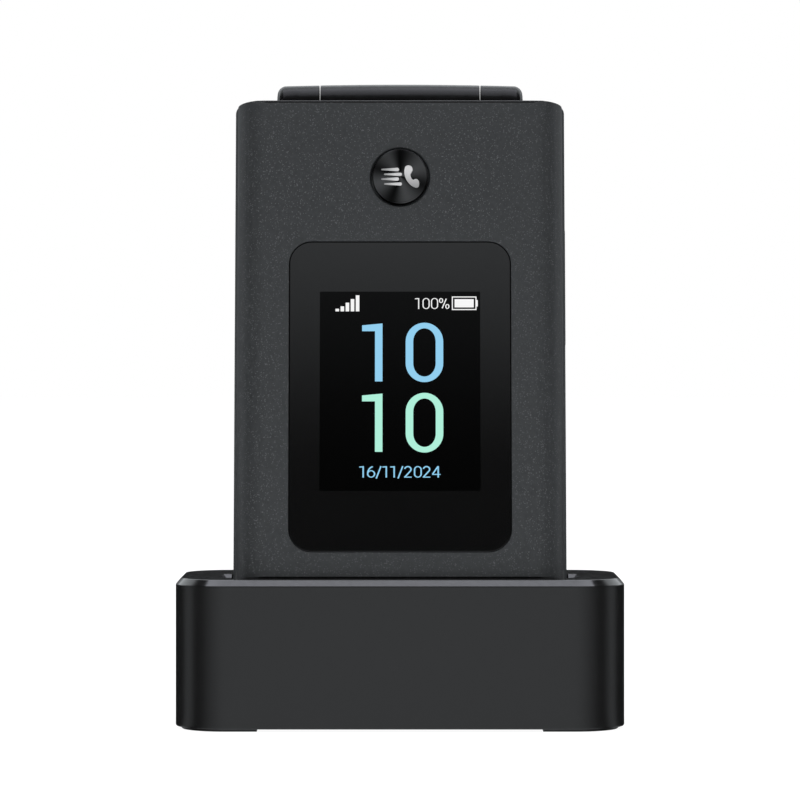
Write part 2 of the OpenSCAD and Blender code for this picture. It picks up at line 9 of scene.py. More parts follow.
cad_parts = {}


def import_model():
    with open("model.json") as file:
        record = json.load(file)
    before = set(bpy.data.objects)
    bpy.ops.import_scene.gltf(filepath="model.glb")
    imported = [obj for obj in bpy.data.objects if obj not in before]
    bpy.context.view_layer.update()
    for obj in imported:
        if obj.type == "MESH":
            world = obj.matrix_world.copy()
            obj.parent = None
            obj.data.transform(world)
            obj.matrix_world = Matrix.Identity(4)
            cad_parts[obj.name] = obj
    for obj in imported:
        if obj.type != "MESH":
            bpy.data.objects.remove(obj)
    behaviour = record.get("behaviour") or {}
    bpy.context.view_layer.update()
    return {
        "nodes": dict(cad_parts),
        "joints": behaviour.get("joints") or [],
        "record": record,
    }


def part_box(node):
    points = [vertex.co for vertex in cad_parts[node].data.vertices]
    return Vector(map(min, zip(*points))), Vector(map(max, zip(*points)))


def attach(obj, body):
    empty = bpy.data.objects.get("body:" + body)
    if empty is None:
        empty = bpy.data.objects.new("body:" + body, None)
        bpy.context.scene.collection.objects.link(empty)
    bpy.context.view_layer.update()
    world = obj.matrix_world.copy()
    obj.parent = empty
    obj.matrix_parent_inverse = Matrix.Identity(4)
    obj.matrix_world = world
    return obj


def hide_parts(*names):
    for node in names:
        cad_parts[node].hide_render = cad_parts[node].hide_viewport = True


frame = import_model()

MM = 0.001
NODES = frame["nodes"]
JOINTS = {joint["name"]: joint for joint in frame["joints"]}
SLOT_OF = {part["node"]: part["material_slot"] for part in frame["record"]["subparts"]}
BODY_OF = {node: body for body, nodes in frame["record"]["behaviour"]["bodies"].items()
           for node in nodes}

# ---- The phone's own frame: millimetres, Z along the phone, -Y out of its front ----------------

HINGE_Z = 99.1
rise = Vector(JOINTS["phone_lift"]["axis"])
hinge_point = Vector(JOINTS["lid_hinge"]["pos_m"])
lean = math.atan2(rise.y, rise.z)
PHONE = Matrix.Translation(hinge_point - rise * (HINGE_Z * MM)) @ Matrix.Rotation(-lean, 4, "X")
UPRIGHT = Matrix.Rotation(math.radians(90), 4, "X")


def box_round(points):
    """Lowest and highest corner of the box round points."""
    return [Vector([pick(point[i] for point in points) for i in range(3)]) for pick in (min, max)]


def local_box(node):
    """Lowest and highest corner of a CAD node at rest, in the phone's own frame."""
    inverse = PHONE.inverted()
    return box_round([inverse @ vertex.co / MM for vertex in NODES[node].data.vertices])


def middle(node):
    low, high = local_box(node)
    return (low + high) / 2


def front(x, y, z):
    """Where a piece faces out of the phone's front: X to its right, Y up, Z outwards."""
    return PHONE @ Matrix.Translation(Vector((x, y, z)) * MM) @ UPRIGHT


def rear(x, y, z):
    """The same for a piece that faces out of the rear."""
    about = Matrix.Rotation(math.pi, 4, "Z")
    return PHONE @ Matrix.Translation(Vector((x, y, z)) * MM) @ about @ UPRIGHT


def raised(place, height):
    """A place moved outwards by a height in millimetres."""
    return place @ Matrix.Translation((0, 0, height * MM))


# ---- Shader expressions ------------------------------------------------------------------------


class Value:
    """A socket of a node tree. Arithmetic with it adds Math nodes, also where it comes second."""

    def __init__(self, graph, socket):
        self.graph = graph
        self.socket = socket

    def _math(self, operation, *values):
        return self.graph.add("ShaderNodeMath", {"operation": operation}, dict(enumerate(values)))

    def apply(self, operation, *others):
        return self._math(operation, self, *others)

    def __add__(self, other):
        return self._math("ADD", self, other)

    def __radd__(self, other):
        return self._math("ADD", other, self)

    def __sub__(self, other):
        return self._math("SUBTRACT", self, other)

    def __rsub__(self, other):
        return self._math("SUBTRACT", other, self)

    def __mul__(self, other):
        return self._math("MULTIPLY", self, other)

    def __rmul__(self, other):
        return self._math("MULTIPLY", other, self)

    def __truediv__(self, other):
        return self._math("DIVIDE", self, other)

    def __rtruediv__(self, other):
        return self._math("DIVIDE", other, self)

    def __gt__(self, other):
        return self._math("GREATER_THAN", self, other)

    def __lt__(self, other):
        return self._math("LESS_THAN", self, other)


class Graph:
    """A material's or world's node tree, to which nodes are added by type."""

    def __init__(self, owner, coordinates="Object"):
        owner.use_nodes = True
        self.tree = owner.node_tree
        self.tree.nodes.clear()
        self.coordinates = coordinates
        self.shader = None

    def add(self, kind, settings=None, values=None, output=0):
        """Adds a node: its settings first, then the values or links of its sockets."""
        node = self.tree.nodes.new(kind)
        for name, setting in (settings or {}).items():
            if name == "stops":
                self._set_stops(node.color_ramp, *setting)
            else:
                setattr(node, name, setting)
        for name, value in (values or {}).items():
            if isinstance(value, Value):
                self.tree.links.new(value.socket, node.inputs[name])
            else:
                node.inputs[name].default_value = value
        return Value(self, node.outputs[output]) if len(node.outputs) else node

    @staticmethod
    def _set_stops(ramp, kind, stops):
        ramp.interpolation = kind
        while len(ramp.elements) < len(stops):
            ramp.elements.new(0.5)
        for element, (position, colour) in zip(ramp.elements, stops):
            element.position = position
            element.color = (*colour, 1.0)

    def mix(self, factor, a, b):
        """A mix of two colours."""
        values = {0: factor, 6: a, 7: b}
        return self.add("ShaderNodeMix", {"data_type": "RGBA"}, values, output=2)

    def noise(self, scale, detail=2.0, where=None):
        """Noise from 0 to 1 at a scale in features per metre."""
        values = {"Scale": scale, "Detail": detail, "Vector": where or self.place()}
        return self.add("ShaderNodeTexNoise", {}, values)

    def place(self):
        """A piece's own coordinates, or in the world the direction."""
        return self.add("ShaderNodeTexCoord", output=self.coordinates)

    def axes(self):
        """The three coordinates of place()."""
        x = self.add("ShaderNodeSeparateXYZ", {}, {0: self.place()})
        return [x] + [Value(self, x.socket.node.outputs[i]) for i in (1, 2)]

    def step(self, value, low, high):
        """0 below low, 1 above high, smooth between."""
        values = {0: value, 1: low, 2: high, 3: 0.0, 4: 1.0}
        return self.add("ShaderNodeMapRange", {"interpolation_type": "SMOOTHSTEP"}, values)

    def ramp(self, value, stops, kind="LINEAR"):
        """A level that follows stops, each a position and a level."""
        levels = [(position, (level,) * 3) for position, level in stops]
        return self.add("ShaderNodeValToRGB", {"stops": (kind, levels)}, {0: value})

    def bump(self, height, distance):
        return self.add("ShaderNodeBump", {}, {"Height": height, "Distance": distance})

    def ray_is(self, kind):
        return self.add("ShaderNodeLightPath", output=kind)


def grey(level):
    """A neutral colour of one linear level."""
    return (level, level, level, 1.0)


def shade(colour, factor):
    return tuple(channel * factor for channel in colour[:3]) + (1.0,)


def wander(noise, amount):
    """Noise that varies about 0 by an amount from end to end."""
    return (noise - 0.5) * amount


def material(name, **sockets):
    """A material with a principled shader. Its graph is passed back to vary the sockets."""
    made = bpy.data.materials.new(name)
    graph = Graph(made)
    values = {key.replace("_", " "): value for key, value in sockets.items()}
    shader = graph.add("ShaderNodeBsdfPrincipled", {}, values)
    graph.add("ShaderNodeOutputMaterial", {}, {"Surface": shader})
    graph.shader = shader.socket.node
    return made, graph


def connect(graph, **sockets):
    """Links varying values to the principled shader's sockets."""
    for key, value in sockets.items():
        graph.tree.links.new(value.socket, graph.shader.inputs[key.replace("_", " ")])


# ---- Finishes ----------------------------------------------------------------------------------

# The paint's darkest and palest tone, its flakes, and the value above which a cell is a flake
PAINT_DARK = (0.016, 0.0174, 0.0184)
PAINT_PALE = (0.033, 0.0358, 0.0375)
FLAKE_COLOUR = (0.14, 0.145, 0.15, 1.0)
FLAKE_THRESHOLD = 0.94

# How the painted sheen of a turned disc changes round it, clockwise from the top: its lighter and
# darker sectors are painted into its colour
PAINTED_SHEEN = [(0.0, 0.0), (0.167, 1.0), (0.306, 0.05), (0.444, 1.0), (0.556, 0.0), (0.694, 1.0),
         (0.806, 0.05), (0.917, 0.9), (1.0, 0.0)]
# The disc's colour in its darkest and brightest painted sectors: painted shade and painted highlight
PAINTED_SHEEN_DARK = 0.013
PAINTED_SHEEN_BRIGHT = 0.155


def moulded(name, colour, roughness, grain=900.0, depth=0.004, gloss=0.5):
    """Moulded plastic: a fine spark-eroded grain, and a slow variation in gloss."""
    made, graph = material(name, Specular_IOR_Level=gloss)
    fine = graph.noise(grain, detail=3.0)
    slow = graph.noise(60.0)
    tone = graph.mix(fine * 0.5 + slow * 0.5, shade(colour, 0.85), shade(colour, 1.15))
    connect(graph, Base_Color=tone, Roughness=roughness + wander(fine, 0.1) + wander(slow, 0.04),
            Normal=graph.bump(fine, depth * MM))
    return made


def lid_paint(name="lid_paint", flakes=0.4, level=1.0):
    """Dark grey satin paint. Flakes is how much its metallic flakes show, level how pale it is."""
    made, graph = material(name, Specular_IOR_Level=0.6)
    cells = graph.add("ShaderNodeTexVoronoi", {"feature": "F1"},
                      {"Scale": 7500.0, "Vector": graph.place()}, output=1)
    flake = graph.add("ShaderNodeSeparateColor", {}, {0: cells})
    cloud = graph.noise(1300.0, detail=4.0)
    base = graph.mix(cloud, shade(PAINT_DARK, level), shade(PAINT_PALE, level))
    colour = graph.mix((flake > FLAKE_THRESHOLD) * flakes, base, FLAKE_COLOUR)
    connect(graph, Base_Color=colour, Roughness=0.36 + wander(cloud, 0.12),
            Normal=graph.bump(cloud, 0.002 * MM))
    return made


def spun_metal_painted_sheen():
    """Black anodised metal with a fine circular grain. Its sheen in sectors is painted into its
    colour: painted highlights and painted shade round the disc.
    """
    made, graph = material("spun_metal_painted_sheen", Metallic=1.0, Anisotropic=0.85)
    x, y, _ = graph.axes()
    turn = (x.apply("ARCTAN2", y) / (2 * math.pi) + 1.0).apply("FRACT")
    radius = (x * x + y * y).apply("SQRT")
    rings = graph.noise(7000.0, where=graph.add("ShaderNodeCombineXYZ", {}, {0: radius}))
    # The lighter and darker sectors are painted into the base colour as a painted sheen, which the
    # grain varies
    sheen = graph.ramp(turn, PAINTED_SHEEN, "EASE") * (0.85 + rings * 0.3)
    connect(graph, Base_Color=graph.mix(sheen, grey(PAINTED_SHEEN_DARK), grey(PAINTED_SHEEN_BRIGHT)),
            Roughness=0.3 + rings * 0.08)
    return made


def metal(name, colour, roughness):
    """Plain metal with a fine grain."""
    made, graph = material(name, Metallic=1.0)
    fine = graph.noise(2500.0, detail=4.0)
    tone = graph.mix(fine, shade(colour, 0.85), shade(colour, 1.0))
    connect(graph, Base_Color=tone, Roughness=roughness + wander(fine, 0.15))
    return made


def glossy_black(name, colour, roughness=0.04, gloss=0.5):
    """Polished dark glass or lacquer, with the faintest unevenness."""
    made, graph = material(name, Specular_IOR_Level=gloss)
    slow = graph.noise(40.0)
    connect(graph, Base_Color=graph.mix(slow, shade(colour, 0.9), shade(colour, 1.1)),
            Roughness=roughness + slow * 0.02)
    return made


def lit(name, colour):
    """Something that glows evenly, as a display's pixels do."""
    return material(name, Base_Color=grey(0.0), Specular_IOR_Level=0.0,
                    Emission_Color=(*colour, 1.0), Emission_Strength=1.0)[0]


def printed(name, colour):
    """A printed or inlaid mark."""
    made, graph = material(name)
    fine = graph.noise(4000.0)
    connect(graph, Base_Color=graph.mix(fine, shade(colour, 0.92), shade(colour, 1.0)),
            Roughness=0.4 + wander(fine, 0.1))
    return made


def mark_with_painted_sheen(name, axis, low, high):
    """A bright mark whose colour is painted darker towards its lower end along an axis and lighter
    towards the other: painted shade and painted highlight.
    """
    made, graph = material(name, Specular_IOR_Level=0.6)
    along = graph.step(graph.axes()[axis], low * MM, high * MM)
    fine = graph.noise(3000.0)
    # The colour goes from painted shade at the lower end to a painted highlight at the other
    connect(graph, Base_Color=graph.mix(along, grey(0.21), grey(0.5)), Roughness=0.3 + fine * 0.1)
    return made


FINISH = {
    "lid_paint": lid_paint(),
    # The frame's plastic is the lid's paint without flakes at twice the level, so that the frame's
    # rim shows as a light line beside the cover: partly its own paler colour, partly a painted
    # highlight
    "frame_plastic": lid_paint("frame_plastic", flakes=0.0, level=2.0),
    "case_plastic": moulded("case_plastic", grey(0.009), 0.4, depth=0.003, gloss=0.35),
    "battery_cover_plastic": moulded("battery_cover_plastic", grey(0.012), 0.42,
                                     grain=1400.0, depth=0.006),
    "cradle_plastic": moulded("cradle_plastic", grey(0.006), 0.14, depth=0.0008),
    "well_plastic": moulded("well_plastic", grey(0.006), 0.4),
    "base_plastic": moulded("base_plastic", grey(0.012), 0.55, depth=0.006),
    "foot_rubber": moulded("foot_rubber", grey(0.008), 0.7),
    "side_key_plastic": moulded("side_key_plastic", grey(0.01), 0.3, depth=0.001),
    "key_plastic": moulded("key_plastic", grey(0.016), 0.34, depth=0.002),
    "dome_film": moulded("dome_film", (0.55, 0.55, 0.5), 0.4),
    "battery_sleeve": moulded("battery_sleeve", (0.1, 0.11, 0.13), 0.35),
    "circuit_board": moulded("circuit_board", (0.015, 0.11, 0.05), 0.35),
    "camera_black": glossy_black("camera_black", grey(0.006)),
    "flash_plastic": moulded("flash_plastic", (0.8, 0.77, 0.62), 0.25),
    "window_glass": glossy_black("window_glass", grey(0.003), 0.03),
    "outer_display": glossy_black("outer_display", grey(0.0008), 0.05, gloss=0.12),
    "inner_display": glossy_black("inner_display", grey(0.0012), 0.06, gloss=0.2),
    "spun_black_metal": spun_metal_painted_sheen(),
    "nav_ring_metal": metal("nav_ring_metal", (0.32, 0.33, 0.34), 0.36),
    "ballast_steel": metal("ballast_steel", (0.5, 0.5, 0.51), 0.4),
    "connector_steel": metal("connector_steel", (0.65, 0.66, 0.68), 0.25),
    "gold_contact": metal("gold_contact", (0.85, 0.62, 0.28), 0.25),
    "screw_steel": metal("screw_steel", (0.42, 0.42, 0.44), 0.35),
    "speaker_grey": metal("speaker_grey", (0.4, 0.41, 0.42), 0.4),
    "motor_steel": metal("motor_steel", (0.6, 0.6, 0.61), 0.3),
    "hinge_steel": metal("hinge_steel", (0.5, 0.5, 0.51), 0.3),
    "magnet_steel": metal("magnet_steel", (0.55, 0.55, 0.57), 0.3),
}

BARREL_PLASTIC = moulded("barrel_plastic", grey(0.0035), 0.25, depth=0.0006, gloss=0.08)
# A dark plastic for the lid's top edge, which paints the shade of the seam there
EDGE_PAINTED_SHADE = moulded("edge_painted_shade", grey(0.008), 0.5, gloss=0.15)
COATED_GLASS = glossy_black("coated_glass", (0.004, 0.005, 0.009))
IRIS_METAL = metal("iris_metal", (0.1, 0.1, 0.12), 0.3)
DISPLAY_BLUE = lit("display_blue", (0.287, 0.624, 0.871))
DISPLAY_MINT = lit("display_mint", (0.429, 0.871, 0.701))
DISPLAY_WHITE = lit("display_white", (0.93, 0.93, 0.93))
LEGEND_WHITE = printed("legend_white", (0.72, 0.73, 0.74))
LEGEND_GREEN = printed("legend_green", (0.05, 0.42, 0.1))
LEGEND_RED = printed("legend_red", (0.55, 0.04, 0.03))
# The quick key's dashes and handset: silver marks with a painted sheen along their length
DASH_SILVER_PAINTED_SHEEN = mark_with_painted_sheen("dash_silver_painted_sheen", axis=0, low=-3.2, high=-0.4)
HANDSET_SILVER_PAINTED_SHEEN = mark_with_painted_sheen("handset_silver_painted_sheen", axis=1, low=-2.6, high=1.4)

# ---- Mesh tools --------------------------------------------------------------------------------

# Material index of the narrow faces along a softened edge, until their normals are set
STRIP = 1
# Faces smaller than this, in square metres, have no sure direction
SLIVER = 1e-13
# The least cosine between two faces that are shaded as one, and the same for a strip's faces
SAME_FACE = 0.85
NEXT_TO_STRIP = 0.3
# Edges that turn by more than the first are softened, and those by less than the second dissolved
SHARP_ANGLE = math.radians(32.0)
FLAT_ANGLE = math.radians(0.3)
WELD = 0.005 * MM


def add_object(name, data, place=None):
    made = bpy.data.objects.new(name, data)
    bpy.context.scene.collection.objects.link(made)
    made.matrix_world = place or Matrix()
    return made


def add_work(name, work, place):
    """A piece from a bmesh, which is used up."""
    mesh = bpy.data.meshes.new(name)
    work.to_mesh(mesh)
    work.free()
    return add_object(name, mesh, place)


def mesh_from(name, outline):
    """The plain mesh of a curve or text."""
    piece = add_object(name, outline)
    bpy.context.view_layer.update()
    graph = bpy.context.evaluated_depsgraph_get()
    mesh = bpy.data.meshes.new_from_object(piece.evaluated_get(graph))
    bpy.data.objects.remove(piece)
    return mesh


def even_normals(piece):
    """Smooth shading that keeps large faces flat, also beside softened edges."""
    mesh = piece.data
    mesh.shade_smooth()
    large = [[] for _ in mesh.vertices]
    small = [[] for _ in mesh.vertices]
    for face in mesh.polygons:
        if face.area > SLIVER:
            for index in face.vertices:
                around = small if face.material_index == STRIP else large
                around[index].append((face.normal.copy(), face.area))
    normals = []
    for face in mesh.polygons:
        least = NEXT_TO_STRIP if face.material_index == STRIP else SAME_FACE
        for index in face.vertices:
            around = large[index] or small[index]
            normal = sum((n * area for n, area in around if n.dot(face.normal) > least), Vector())
            normals.append(normal.normalized() if normal.length > 0 else face.normal.copy())
        face.material_index = 0
    mesh.normals_split_custom_set(normals)
    return piece


def settle(piece, body, slot, finish=None):
    """Gives a piece its finish and the body that it moves with."""
    piece.data.materials.clear()
    piece.data.materials.append(finish or FINISH[slot])
    bpy.context.view_layer.update()
    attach(piece, body)
    return piece


def stand_in(piece, node):
    """Lets a piece stand for a CAD node."""
    settle(piece, BODY_OF[node], SLOT_OF[node])
    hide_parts(node)
    return piece


def soften(work, width, room):
    """Rounds the outer edges of a mesh by a width, where there is room for so many widths."""
    def fits(edge):
        links = [link for vertex in edge.verts for link in vertex.link_edges]
        shortest = min(link.calc_length() for link in links)
        smallest = min(face.calc_area() for face in edge.link_faces)
        return shortest > room * width and smallest > room * width * edge.calc_length()

    edges = [edge for edge in work.edges if edge.is_manifold and edge.is_convex
             and edge.calc_face_angle() > SHARP_ANGLE and fits(edge)]
    bmesh.ops.bevel(work, geom=edges, offset=width, offset_type="OFFSET", segments=2, profile=0.5,
                    affect="EDGES", material=STRIP)


def dress(node, edge=0.1, room=1.5):
    """A copy of a CAD node with edges softened by some millimetres, which stands for the node."""
    mesh = NODES[node].data.copy()
    work = bmesh.new()
    work.from_mesh(mesh)
    bmesh.ops.remove_doubles(work, verts=work.verts, dist=WELD)
    bmesh.ops.dissolve_limit(work, angle_limit=FLAT_ANGLE, verts=work.verts, edges=work.edges)
    soften(work, edge * MM, room)
    work.to_mesh(mesh)
    work.free()
    for name in ("custom_normal", "sharp_face", "sharp_edge"):
        if name in mesh.attributes:
            mesh.attributes.remove(mesh.attributes[name])
    return stand_in(even_normals(add_object(node + "_dressed", mesh)), node)


def repaint(piece, finish, inside):
    """Gives another finish to the faces whose middle, in the phone's own frame, is inside."""
    piece.data.materials.append(finish)
    inverse = PHONE.inverted()
    for face in piece.data.polygons:
        if inside(inverse @ face.center / MM):
            face.material_index = 1


def mesh_of(name, points, faces, place):
    """A piece from points in millimetres."""
    mesh = bpy.data.meshes.new(name)
    mesh.from_pydata([Vector(point) * MM for point in points], [], faces)
    mesh.validate()
    work = bmesh.new()
    work.from_mesh(mesh)
    bmesh.ops.recalc_face_normals(work, faces=work.faces)
    work.to_mesh(mesh)
    work.free()
    return even_normals(add_object(name, mesh, place))


def loft(name, loops, place):
    """A skin over outlines of equal point counts, one above another, closed at both ends."""
    count = len(loops[0])
    points = [point for loop in loops for point in loop]
    last = (len(loops) - 1) * count
    faces = [tuple(reversed(range(count))), tuple(range(last, last + count))]
    for row in range(len(loops) - 1):
        for i in range(count):
            a, b = row * count + i, row * count + (i + 1) % count
            faces.append((a, b, b + count, a + count))
    return mesh_of(name, points, faces, place)


def revolve(name, profile, place, segments=96):
    """A turned piece: (radius, height) points swept round Z, closed at both ends."""
    turns = [2 * math.pi * i / segments for i in range(segments)]
    loops = [[(radius * math.cos(t), radius * math.sin(t), height) for t in turns]
             for radius, height in profile]
    return loft(name, loops, place)


def rounded(width, height, radius, corner=8):
    """Points round a rectangle with round corners."""
    points = []
    for quarter, (sx, sy) in enumerate(((1, 1), (-1, 1), (-1, -1), (1, -1))):
        for i in range(corner + 1):
            t = math.radians(90 * (quarter + i / corner))
            points.append((sx * (width / 2 - radius) + radius * math.cos(t),
                           sy * (height / 2 - radius) + radius * math.sin(t)))
    return points


def box_at(x0, x1, y0, y1):
    return [(x0, y0), (x1, y0), (x1, y1), (x0, y1)]


def moved(points, x, y, turn=0.0, scale=1.0):
    """Points turned by degrees and scaled about the origin, then moved."""
    c, s = math.cos(math.radians(turn)) * scale, math.sin(math.radians(turn)) * scale
    return [(x + c * px - s * py, y + s * px + c * py) for px, py in points]


def smooth(points, steps=6):
    """A closed curve through points."""
    out = []
    for i in range(len(points)):
        a, b, c, d = (Vector(points[(i + k) % len(points)]) for k in (-1, 0, 1, 2))
        for t in (k / steps for k in range(steps)):
            out.append(0.5 * (2 * b + (c - a) * t + (2 * a - 5 * b + 4 * c - d) * t ** 2
                              + (3 * b - a - 3 * c + d) * t ** 3))
    return out


def stroke(points, half):
    """The outline of a bent line of even thickness."""
    left, right = [], []
    for i, (x, y) in enumerate(points):
        before, after = points[max(i - 1, 0)], points[min(i + 1, len(points) - 1)]
        ahead = Vector((after[0] - before[0], after[1] - before[1])).normalized()
        left.append((x - ahead.y * half, y + ahead.x * half))
        right.append((x + ahead.y * half, y - ahead.x * half))
    return left + right[::-1]


def bow(x, y, a, b, start, end, count=16):
    """Points on an ellipse's arc, between two turns in degrees."""
    turns = [math.radians(start + (end - start) * i / count) for i in range(count + 1)]
    return [(x + a * math.cos(t), y + b * math.sin(t)) for t in turns]


def oval(x, y, a, b, straight=0.0):
    """An upright outline with elliptical ends and, between them, straight sides."""
    return bow(x, y + straight, a, b, 0, 180, 24) + bow(x, y - straight, a, b, 180, 360, 24)


def flat(name, parts, place, thickness, edge=0.0):
    """A flat piece of one or more parts. Each fills closed outlines, in which inner ones are holes.
    Its top is at Z = 0, and its edge may be rounded."""
    joined = bmesh.new()
    for outlines in parts:
        curve = bpy.data.curves.new(name, "CURVE")
        curve.dimensions = "2D"
        curve.fill_mode = "BOTH"
        curve.extrude = (thickness / 2 - edge) * MM
        curve.bevel_depth = edge * MM
        curve.bevel_resolution = 2
        curve.offset = -edge * MM
        for outline in outlines:
            spline = curve.splines.new("POLY")
            spline.points.add(len(outline) - 1)
            for point, (x, y) in zip(spline.points, outline):
                point.co = (x * MM, y * MM, 0.0, 1.0)
            spline.use_cyclic_u = True
        joined.from_mesh(mesh_from(name, curve))
    bmesh.ops.translate(joined, verts=joined.verts, vec=(0, 0, -thickness / 2 * MM))
    return add_work(name, joined, place)


def lettering(name, texts, place, thickness):
    """Plain letters and numbers, each with its height and its middle. Their top is at Z = 0."""
    joined = bmesh.new()
    half = 0.01
    for text, height, x, y in texts:
        font = bpy.data.curves.new(name, "FONT")
        font.body = text
        font.extrude = half
        mesh = mesh_from(name, font)
        low, high = box_round([vertex.co for vertex in mesh.vertices])
        scale = height / (high.y - low.y)
        for vertex in mesh.vertices:
            p = vertex.co - (low + high) / 2
            z = p.z / (2 * half) * thickness - thickness / 2
            vertex.co = Vector((x + p.x * scale, y + p.y * scale, z)) * MM
        joined.from_mesh(mesh)
    return add_work(name, joined, place)


# ---- CAD nodes that keep their shape -----------------------------------------------------------

for node in NODES:
    NODES[node].data.materials.clear()
    NODES[node].data.materials.append(FINISH[SLOT_OF[node]])

DRESSED = ["cradle_shell", "well_tub", "contact_block", "keypad_housing", "battery_cover",
           "outer_window", "inner_window", "soft_key_left", "soft_key_right", "call_key",
           "end_key"]
# Nodes whose edges crowd each other, and nodes whose edges are softened less
CROWDED = ["rubber_feet", "rear_housing", "lid_frame"]
FINE = ["lid_cover", "volume_key", "lid_bumpers"]
dressed = {node: dress(node) for node in DRESSED}
dressed.update({node: dress(node, room=3.0) for node in CROWDED})
dressed.update({node: dress(node, edge=0.04) for node in FINE})

# Where the barrel's skin is, and the part of the lid's top edge that gets a dark finish: painted
# shade of the seam there
BARREL_RADII = (4.7, 5.7)
MIDDLE_KNUCKLE_X = 14.2
OUTER_KNUCKLE_X = 14.0
LID_TOP_Z = 99.4
LID_FRONT_Y = -8.0
LID_CORNER_X = 24.0


def on_barrel(p):
    """Whether a point is about as far from the hinge's axis as the barrel's skin."""
    return BARREL_RADII[0] < math.hypot(p.y, p.z - HINGE_Z) < BARREL_RADII[1]


def on_top_edge(p):
    """Whether a point is on the lid's top edge, at the front or at a corner."""
    return p.z > LID_TOP_Z and (p.y < LID_FRONT_Y or abs(p.x) > LID_CORNER_X)


repaint(dressed["lid_frame"], BARREL_PLASTIC,
        lambda p: abs(p.x) < MIDDLE_KNUCKLE_X and on_barrel(p))
repaint(dressed["keypad_housing"], BARREL_PLASTIC,
        lambda p: abs(p.x) > OUTER_KNUCKLE_X and on_barrel(p))
# The lid's top edge is painted dark: painted shade of the seam between the cover and the frame
repaint(dressed["lid_cover"], EDGE_PAINTED_SHADE, on_top_edge)

# ---- Outer display -----------------------------------------------------------------------------

SCREEN_Z = 48.4
SCREEN_SIZE = (28.03, 35.04)
# How far the screen and, before it, its marks stand in front of the glass, and their thickness
SCREEN_PROUD = 0.01
MARKS_PROUD = 0.02
FILM = 0.02
# Lower ends of the two rows of large numerals, above the screen's middle
HOURS_Y = 1.62
MINUTES_Y = -10.74
# Signal bars, from the lowest
BAR_HEIGHTS = (0.45, 0.88, 1.53, 2.17, 2.83)
BARS_X = -11.28
BARS_Y = 14.03
BAR_WIDTH = 0.62
BAR_STEP = 0.887
BATTERY = [(9.07, 14.26), (13.38, 14.26), (13.38, 14.88), (13.6, 14.88), (13.6, 16.02),
           (13.38, 16.02), (13.38, 16.66), (9.07, 16.66)]
BATTERY_HOLLOW = box_at(9.25, 13.2, 14.44, 16.48)
BATTERY_CHARGE = box_at(9.55, 12.9, 14.73, 16.19)
# A numeral's level line against its upright one, and the space after a sign, in units
LEVEL_LINE = 0.75
SIGN_GAP = 0.08

glass_y = local_box("outer_window")[0].y


def show(name, parts, proud=MARKS_PROUD, finish=None):
    """A flat piece on the outer display."""
    place = front(0.0, glass_y - proud, SCREEN_Z)
    settle(flat(name, parts, place, FILM), "lid", "outer_display", finish)


def numeral(sign, half):
    """Parts of a numeral or mark, one unit high, and the step to the next one.
    Half is half of an upright line's width."""
    level = half * LEVEL_LINE

    def ring(x, y, a, b, straight=0.0):
        return [oval(x, y, a + half, b + level, straight), oval(x, y, a - half, b - level, straight)]

    if sign == "0":
        return [ring(0.33, 0.5, 0.25, 0.27, 0.23 - level)], 0.7
    if sign == "1":
        flag = 0.965 - 2 * level
        return [[[(0.36, 0.0), (0.36, 1.0), (0.0, 0.967), (0.0, flag), (0.36 - 2 * half, flag),
                  (0.36 - 2 * half, 0.0)]]], 0.6
    if sign == "2":
        bend = bow(0.29, 0.72, 0.24, 0.28 - level, 170, -35) + [(0.05, level)]
        return [[stroke(bend, half)], [box_at(0.0, 0.58, 0.0, 2 * level)]], 0.72
    if sign == "4":
        return [[stroke([(0.44, 0.97), (0.02, 0.28)], half)],
                [box_at(0.46 - half, 0.46 + half, 0.0, 1.0)],
                [box_at(0.0, 0.64, 0.28 - level, 0.28 + level)]], 0.74
    if sign == "6":
        back = bow(0.52, 0.36, 0.47, 0.64 - level, 180, 100)
        return [ring(0.31, 0.32, 0.26, 0.32 - level), [stroke(back, half)]], 0.7
    if sign == "/":
        return [[stroke([(0.0, -0.08), (0.36, 1.0)], half)]], 0.46
    if sign == "%":
        slash = stroke([(0.26, 0.06), (0.6, 0.94)], half)
        return [[slash], ring(0.17, 0.77, 0.13, 0.19), ring(0.69, 0.23, 0.13, 0.19)], 0.92
    raise ValueError("no numeral is drawn for " + sign)


def numerals(text, x, y, width, height, half):
    """Parts of a row of numerals from its lower left corner."""
    parts, reach = [], 0.0
    for sign in text:
        shapes, step = numeral(sign, half)
        parts += [[[(reach + px, py) for px, py in outline] for outline in shape]
                  for shape in shapes]
        reach += step
    unit = width / (reach - SIGN_GAP)
    return [[[(x + px * unit, y + py * height) for px, py in outline] for outline in part]
            for part in parts]


show("screen", [[rounded(*SCREEN_SIZE, 0.15)]], SCREEN_PROUD)
for name, y, finish in (("hour_digits", HOURS_Y, DISPLAY_BLUE),
                        ("minute_digits", MINUTES_Y, DISPLAY_MINT)):
    one = numerals("1", -6.62, y + 0.05, width=5.1422, height=10.22, half=0.066)
    zero = numerals("0", 0.81, y - 0.08, width=6.4952, height=10.48, half=0.063)
    show(name, one + zero, finish=finish)
bars = []
for i, height in enumerate(BAR_HEIGHTS):
    left = BARS_X + BAR_STEP * i
    bars.append([box_at(left, left + BAR_WIDTH, BARS_Y, BARS_Y + height)])
show("status_marks", bars + [[BATTERY, BATTERY_HOLLOW], [BATTERY_CHARGE]], finish=DISPLAY_WHITE)
show("charge_level", numerals("100%", 2.6, 14.45, width=6.0, height=1.93, half=0.044),
     finish=DISPLAY_WHITE)
show("date", numerals("16/11/2024", -7.1, -15.2, width=14.2, height=2.0, half=0.055),
     finish=DISPLAY_BLUE)

# ---- Quick key ---------------------------------------------------------------------------------

# How far a mark stands above the face of its key
MARK_PROUD = 0.02
QUICK_RADIUS = 4.85
